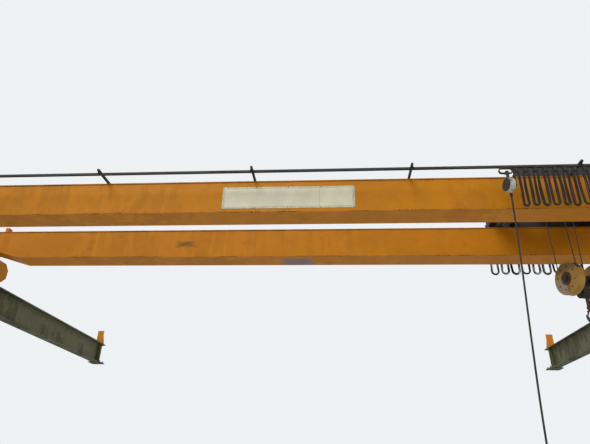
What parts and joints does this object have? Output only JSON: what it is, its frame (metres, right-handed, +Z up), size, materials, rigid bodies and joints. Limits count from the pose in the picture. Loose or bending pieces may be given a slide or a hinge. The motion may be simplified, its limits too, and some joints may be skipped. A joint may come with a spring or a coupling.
{
  "type": "overhead bridge crane",
  "caption": "Double girder overhead travelling crane on its runway beams, with a crab, a hook block, hanging cable loops and a pendant control.",
  "frame": {"origin": "underside of the middle seat of the left runway beam, on the beam's centre line", "axes": "+X along the girders to the right runway, +Y along the hall away from the picture's viewpoint, +Z up"},
  "size_m": [12.08, 11.994, 4.8263],
  "materials": {
    "runway_paint": "satin",
    "rail_steel": "worn",
    "crane_paint": "satin",
    "wheel_steel": "worn",
    "buffer_rubber": "matt",
    "machine_paint": "satin",
    "sign_face": "satin",
    "dark_steel": "dirty",
    "box_plastic": "matt",
    "rope_steel": "greased",
    "cover_paint": "worn",
    "hook_steel": "worn",
    "cable_rubber": "matt",
    "station_plastic": "satin"
  },
  "bodies": {
    "runway": {"runway_beam_left": "runway_paint", "runway_beam_right": "runway_paint", "runway_rail_left": "rail_steel", "runway_rail_right": "rail_steel", "runway_end_stops": "crane_paint"},
    "bridge": {"girder_near": "crane_paint", "girder_far": "crane_paint", "end_carriage_left": "crane_paint", "end_carriage_right": "crane_paint", "bridge_wheels": "wheel_steel", "bridge_buffers": "buffer_rubber", "travel_drive_left": "machine_paint", "travel_drive_right": "machine_paint", "crab_rail_near": "rail_steel", "crab_rail_far": "rail_steel", "crab_end_stops": "crane_paint", "sign_plate": "sign_face", "festoon_track_near": "dark_steel", "festoon_track_far": "dark_steel", "festoon_terminal_boxes": "box_plastic", "festoon_cable_near": "cable_rubber", "festoon_cable_far": "cable_rubber"},
    "crab": {"crab_frame": "dark_steel", "crab_wheels": "wheel_steel", "crab_travel_drive": "machine_paint", "rope_drum": "rope_steel", "drum_pedestal": "machine_paint", "hoist_gearbox": "machine_paint", "hoist_motor": "machine_paint", "equaliser_sheave": "rope_steel", "tow_arm": "dark_steel", "hoist_ropes": "rope_steel"},
    "hook_block": {"block_yoke": "dark_steel", "block_sheaves": "rope_steel", "block_covers": "cover_paint"},
    "hook": {"hook": "hook_steel", "hook_latch": "rope_steel"},
    "pendant": {"pendant_trolley": "dark_steel", "pendant_junction": "box_plastic", "pendant_cable": "cable_rubber", "pendant_station": "station_plastic"},
    "near_carrier_1": {"near_carrier_1": "dark_steel"},
    "near_carrier_2": {"near_carrier_2": "dark_steel"},
    "near_carrier_3": {"near_carrier_3": "dark_steel"},
    "near_carrier_4": {"near_carrier_4": "dark_steel"},
    "near_carrier_5": {"near_carrier_5": "dark_steel"},
    "near_carrier_6": {"near_carrier_6": "dark_steel"},
    "near_carrier_7": {"near_carrier_7": "dark_steel"},
    "near_carrier_8": {"near_carrier_8": "dark_steel"},
    "near_end_clamp": {"near_end_clamp": "dark_steel"},
    "far_carrier_1": {"far_carrier_1": "dark_steel"},
    "far_carrier_2": {"far_carrier_2": "dark_steel"},
    "far_carrier_3": {"far_carrier_3": "dark_steel"},
    "far_carrier_4": {"far_carrier_4": "dark_steel"},
    "far_carrier_5": {"far_carrier_5": "dark_steel"},
    "far_carrier_6": {"far_carrier_6": "dark_steel"},
    "far_carrier_7": {"far_carrier_7": "dark_steel"},
    "far_carrier_8": {"far_carrier_8": "dark_steel"},
    "far_end_clamp": {"far_end_clamp": "dark_steel"}
  },
  "joints": [
    {"name": "bridge_travel", "type": "slide", "parent": "runway", "child": "bridge", "axis": [0, 1, 0], "range_m": [-4.03, 4.43]},
    {"name": "trolley_travel", "type": "slide", "parent": "bridge", "child": "crab", "axis": [1, 0, 0], "range_m": [-8.45, 0.35], "deforming": ["festoon_cable_far"]},
    {"name": "hoist_lift", "type": "slide", "parent": "crab", "child": "hook_block", "axis": [0, 0, 1], "range_m": [-3.3, 0.6], "deforming": ["hoist_ropes"]},
    {"name": "hook_swivel", "type": "hinge", "parent": "hook_block", "child": "hook", "pos_m": [9.93, -0.2, 0.13], "axis": [0, 0, 1], "continuous": true},
    {"name": "pendant_travel", "type": "slide", "parent": "bridge", "child": "pendant", "axis": [1, 0, 0], "range_m": [-8, 0.25], "deforming": ["festoon_cable_near"]},
    {"name": "near_carrier_1_slide", "type": "slide", "parent": "pendant", "child": "near_carrier_1", "axis": [1, 0, 0], "range_m": [-0.028, 0.8895]},
    {"name": "near_carrier_2_slide", "type": "slide", "parent": "near_carrier_1", "child": "near_carrier_2", "axis": [1, 0, 0], "range_m": [-0.028, 0.8895]},
    {"name": "near_carrier_3_slide", "type": "slide", "parent": "near_carrier_2", "child": "near_carrier_3", "axis": [1, 0, 0], "range_m": [-0.028, 0.8895]},
    {"name": "near_carrier_4_slide", "type": "slide", "parent": "near_carrier_3", "child": "near_carrier_4", "axis": [1, 0, 0], "range_m": [-0.028, 0.8895]},
    {"name": "near_carrier_5_slide", "type": "slide", "parent": "near_carrier_4", "child": "near_carrier_5", "axis": [1, 0, 0], "range_m": [-0.028, 0.8895]},
    {"name": "near_carrier_6_slide", "type": "slide", "parent": "near_carrier_5", "child": "near_carrier_6", "axis": [1, 0, 0], "range_m": [-0.028, 0.8895]},
    {"name": "near_carrier_7_slide", "type": "slide", "parent": "near_carrier_6", "child": "near_carrier_7", "axis": [1, 0, 0], "range_m": [-0.028, 0.8895]},
    {"name": "near_carrier_8_slide", "type": "slide", "parent": "near_carrier_7", "child": "near_carrier_8", "axis": [1, 0, 0], "range_m": [-0.028, 0.8895]},
    {"name": "near_end_clamp_slide", "type": "slide", "parent": "near_carrier_8", "child": "near_end_clamp", "axis": [1, 0, 0], "range_m": [-0.028, 0.8895]},
    {"name": "far_carrier_1_slide", "type": "slide", "parent": "crab", "child": "far_carrier_1", "axis": [1, 0, 0], "range_m": [-0.039, 0.9395]},
    {"name": "far_carrier_2_slide", "type": "slide", "parent": "far_carrier_1", "child": "far_carrier_2", "axis": [1, 0, 0], "range_m": [-0.039, 0.9395]},
    {"name": "far_carrier_3_slide", "type": "slide", "parent": "far_carrier_2", "child": "far_carrier_3", "axis": [1, 0, 0], "range_m": [-0.039, 0.9395]},
    {"name": "far_carrier_4_slide", "type": "slide", "parent": "far_carrier_3", "child": "far_carrier_4", "axis": [1, 0, 0], "range_m": [-0.039, 0.9395]},
    {"name": "far_carrier_5_slide", "type": "slide", "parent": "far_carrier_4", "child": "far_carrier_5", "axis": [1, 0, 0], "range_m": [-0.039, 0.9395]},
    {"name": "far_carrier_6_slide", "type": "slide", "parent": "far_carrier_5", "child": "far_carrier_6", "axis": [1, 0, 0], "range_m": [-0.039, 0.9395]},
    {"name": "far_carrier_7_slide", "type": "slide", "parent": "far_carrier_6", "child": "far_carrier_7", "axis": [1, 0, 0], "range_m": [-0.039, 0.9395]},
    {"name": "far_carrier_8_slide", "type": "slide", "parent": "far_carrier_7", "child": "far_carrier_8", "axis": [1, 0, 0], "range_m": [-0.039, 0.9395]},
    {"name": "far_end_clamp_slide", "type": "slide", "parent": "far_carrier_8", "child": "far_end_clamp", "axis": [1, 0, 0], "range_m": [-0.039, 0.9395]}
  ],
  "couplings": [
    {"joint": "near_carrier_1_slide", "follows": "pendant_travel", "ratio": -0.11111},
    {"joint": "near_carrier_2_slide", "follows": "pendant_travel", "ratio": -0.11111},
    {"joint": "near_carrier_3_slide", "follows": "pendant_travel", "ratio": -0.11111},
    {"joint": "near_carrier_4_slide", "follows": "pendant_travel", "ratio": -0.11111},
    {"joint": "near_carrier_5_slide", "follows": "pendant_travel", "ratio": -0.11111},
    {"joint": "near_carrier_6_slide", "follows": "pendant_travel", "ratio": -0.11111},
    {"joint": "near_carrier_7_slide", "follows": "pendant_travel", "ratio": -0.11111},
    {"joint": "near_carrier_8_slide", "follows": "pendant_travel", "ratio": -0.11111},
    {"joint": "near_end_clamp_slide", "follows": "pendant_travel", "ratio": -0.11111},
    {"joint": "far_carrier_1_slide", "follows": "trolley_travel", "ratio": -0.11111},
    {"joint": "far_carrier_2_slide", "follows": "trolley_travel", "ratio": -0.11111},
    {"joint": "far_carrier_3_slide", "follows": "trolley_travel", "ratio": -0.11111},
    {"joint": "far_carrier_4_slide", "follows": "trolley_travel", "ratio": -0.11111},
    {"joint": "far_carrier_5_slide", "follows": "trolley_travel", "ratio": -0.11111},
    {"joint": "far_carrier_6_slide", "follows": "trolley_travel", "ratio": -0.11111},
    {"joint": "far_carrier_7_slide", "follows": "trolley_travel", "ratio": -0.11111},
    {"joint": "far_carrier_8_slide", "follows": "trolley_travel", "ratio": -0.11111},
    {"joint": "far_end_clamp_slide", "follows": "trolley_travel", "ratio": -0.11111}
  ]
}
